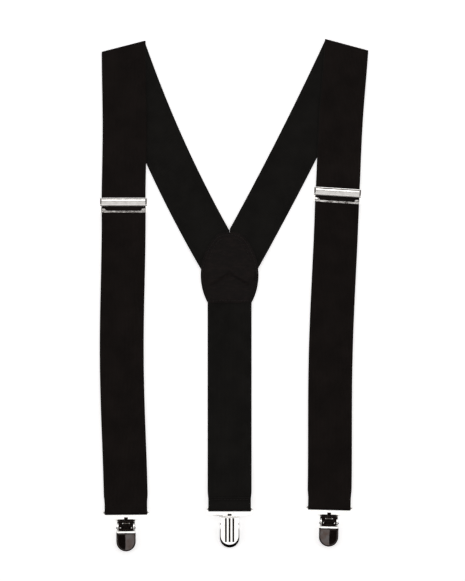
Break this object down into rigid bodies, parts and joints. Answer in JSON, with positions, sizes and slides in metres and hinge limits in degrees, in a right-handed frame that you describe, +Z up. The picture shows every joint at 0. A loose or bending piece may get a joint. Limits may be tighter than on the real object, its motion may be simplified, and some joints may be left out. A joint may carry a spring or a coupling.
{
  "type": "suspenders",
  "caption": "Y-back clip-on suspenders of black elastic webbing with lever adjusters, chrome lever clips and a stitched leather back patch, laid flat with the straps folded over.",
  "frame": {"origin": "on the table plane under the middle of the laid-out suspenders' outline", "axes": "+Y from the clips to the shoulder folds, +Z up from the table, +X to the right seen from above"},
  "size_m": [0.232, 0.4425, 0.0074],
  "materials": {
    "webbing": "ribbed woven elastic, matte with a faint sheen",
    "leather": "smooth grained leather, satin",
    "thread": "waxed sewing thread",
    "chrome": "bright plated, lightly rubbed",
    "spring_steel": "drawn wire",
    "grip_pad": "moulded, toothed"
  },
  "bodies": {
    "patch": {"inner_patch": "leather", "outer_patch": "leather", "patch_stitching": "thread"},
    "left_shoulder": {"left_back_strap": "webbing", "left_shoulder_fold": "webbing"},
    "left_front": {"left_front_strap_upper": "webbing"},
    "left_adjuster": {"left_adjuster_frame": "chrome", "left_sewn_end": "webbing", "left_sewn_end_stitching": "thread"},
    "left_adjuster_lever": {"left_adjuster_lever": "chrome"},
    "left_strap_end": {"left_front_strap_lower": "webbing", "left_return_strap": "webbing", "left_clip_loop": "webbing"},
    "left_clip": {"left_clip_body": "chrome", "left_clip_pin": "chrome", "left_clip_spring": "spring_steel", "left_clip_pad": "grip_pad"},
    "left_clip_jaw": {"left_clip_jaw": "chrome"},
    "left_clip_lever": {"left_clip_lever": "chrome"},
    "right_shoulder": {"right_back_strap": "webbing", "right_shoulder_fold": "webbing"},
    "right_front": {"right_front_strap_upper": "webbing"},
    "right_adjuster": {"right_adjuster_frame": "chrome", "right_sewn_end": "webbing", "right_sewn_end_stitching": "thread"},
    "right_adjuster_lever": {"right_adjuster_lever": "chrome"},
    "right_strap_end": {"right_front_strap_lower": "webbing", "right_return_strap": "webbing", "right_clip_loop": "webbing"},
    "right_clip": {"right_clip_body": "chrome", "right_clip_pin": "chrome", "right_clip_spring": "spring_steel", "right_clip_pad": "grip_pad"},
    "right_clip_jaw": {"right_clip_jaw": "chrome"},
    "right_clip_lever": {"right_clip_lever": "chrome"},
    "centre_strap_end": {"centre_strap": "webbing", "centre_hem_loop": "webbing", "centre_hem_stitching": "thread"},
    "back_clip": {"back_clip_body": "chrome", "back_clip_pin": "chrome", "back_clip_spring": "spring_steel", "back_clip_pad": "grip_pad"},
    "back_clip_jaw": {"back_clip_jaw": "chrome"},
    "back_clip_lever": {"back_clip_lever": "chrome"}
  },
  "joints": [
    {"name": "left_back_stretch", "type": "slide", "parent": "patch", "child": "left_shoulder", "axis": [-0.4226, 0.9063, 0], "range_m": [0, 0.08], "stiffness_N_per_m": 150, "deforming": ["left_back_strap"]},
    {"name": "left_shoulder_unfold", "type": "hinge", "parent": "left_shoulder", "child": "left_front", "pos_m": [-0.0951, 0.2145, 0.00135], "axis": [-0.9686, -0.2487, 0], "range_deg": [0, 180], "deforming": ["left_shoulder_fold"]},
    {"name": "left_adjuster_slide", "type": "slide", "parent": "left_front", "child": "left_adjuster", "axis": [0, -1, 0], "range_m": [-0.02, 0.4], "deforming": ["left_front_strap_upper"]},
    {"name": "left_adjuster_lever_flip", "type": "hinge", "parent": "left_adjuster", "child": "left_adjuster_lever", "pos_m": [-0.0951, 0.07855, 0.0062], "axis": [1, 0, 0], "range_deg": [0, 100]},
    {"name": "left_strap_run", "type": "slide", "parent": "left_adjuster", "child": "left_strap_end", "axis": [0.0075, -1, 0], "range_m": [-0.2, 0.01], "deforming": ["left_front_strap_lower", "left_return_strap"]},
    {"name": "left_clip_swing", "type": "hinge", "parent": "left_strap_end", "child": "left_clip", "pos_m": [-0.09311, -0.18684, 0.00215], "axis": [-1, -0.0075, 0], "range_deg": [-90, 90]},
    {"name": "left_clip_lever_flip", "type": "hinge", "parent": "left_clip", "child": "left_clip_lever", "pos_m": [-0.09301, -0.19999, 0.00535], "axis": [-1, -0.0075, 0], "range_deg": [0, 110]},
    {"name": "left_clip_jaw_open", "type": "hinge", "parent": "left_clip", "child": "left_clip_jaw", "pos_m": [-0.09304, -0.19639, 0.0029], "axis": [-1, -0.0075, 0], "range_deg": [0, 8.2]},
    {"name": "right_back_stretch", "type": "slide", "parent": "patch", "child": "right_shoulder", "axis": [0.4555, 0.8902, 0], "range_m": [0, 0.08], "stiffness_N_per_m": 150, "deforming": ["right_back_strap"]},
    {"name": "right_shoulder_unfold", "type": "hinge", "parent": "right_shoulder", "child": "right_front", "pos_m": [0.0974, 0.2158, 0.00135], "axis": [-0.9659, 0.2588, 0], "range_deg": [0, 180], "deforming": ["right_shoulder_fold"]},
    {"name": "right_adjuster_slide", "type": "slide", "parent": "right_front", "child": "right_adjuster", "axis": [-0.0628, -0.998, 0], "range_m": [-0.02, 0.4], "deforming": ["right_front_strap_upper"]},
    {"name": "right_adjuster_lever_flip", "type": "hinge", "parent": "right_adjuster", "child": "right_adjuster_lever", "pos_m": [0.0893, 0.087, 0.0062], "axis": [0.998, -0.0628, 0], "range_deg": [0, 100]},
    {"name": "right_strap_run", "type": "slide", "parent": "right_adjuster", "child": "right_strap_end", "axis": [-0.0253, -0.9997, 0], "range_m": [-0.2, 0.01], "deforming": ["right_front_strap_lower", "right_return_strap"]},
    {"name": "right_clip_swing", "type": "hinge", "parent": "right_strap_end", "child": "right_clip", "pos_m": [0.08246, -0.18271, 0.00215], "axis": [-0.9997, 0.0253, 0], "range_deg": [-90, 90]},
    {"name": "right_clip_lever_flip", "type": "hinge", "parent": "right_clip", "child": "right_clip_lever", "pos_m": [0.08213, -0.19585, 0.00535], "axis": [-0.9997, 0.0253, 0], "range_deg": [0, 110]},
    {"name": "right_clip_jaw_open", "type": "hinge", "parent": "right_clip", "child": "right_clip_jaw", "pos_m": [0.08222, -0.19226, 0.0029], "axis": [-0.9997, 0.0253, 0], "range_deg": [0, 8.2]},
    {"name": "centre_stretch", "type": "slide", "parent": "patch", "child": "centre_strap_end", "axis": [0, -1, 0], "range_m": [0, 0.06], "stiffness_N_per_m": 150, "deforming": ["centre_strap"]},
    {"name": "back_clip_swing", "type": "hinge", "parent": "centre_strap_end", "child": "back_clip", "pos_m": [-0.0036, -0.18365, 0.0051], "axis": [1, 0, 0], "range_deg": [-90, 90]},
    {"name": "back_clip_lever_flip", "type": "hinge", "parent": "back_clip", "child": "back_clip_lever", "pos_m": [-0.0036, -0.1968, 0.0019], "axis": [1, 0, 0], "range_deg": [0, 110]},
    {"name": "back_clip_jaw_open", "type": "hinge", "parent": "back_clip", "child": "back_clip_jaw", "pos_m": [-0.0036, -0.1932, 0.00435], "axis": [1, 0, 0], "range_deg": [0, 8.2]}
  ],
  "couplings": [
    {"joint": "left_strap_run", "follows": "left_adjuster_slide", "ratio": -0.5},
    {"joint": "left_clip_jaw_open", "follows": "left_clip_lever_flip", "ratio": 0.0727},
    {"joint": "right_strap_run", "follows": "right_adjuster_slide", "ratio": -0.5},
    {"joint": "right_clip_jaw_open", "follows": "right_clip_lever_flip", "ratio": 0.0727},
    {"joint": "back_clip_jaw_open", "follows": "back_clip_lever_flip", "ratio": 0.0727}
  ]
}
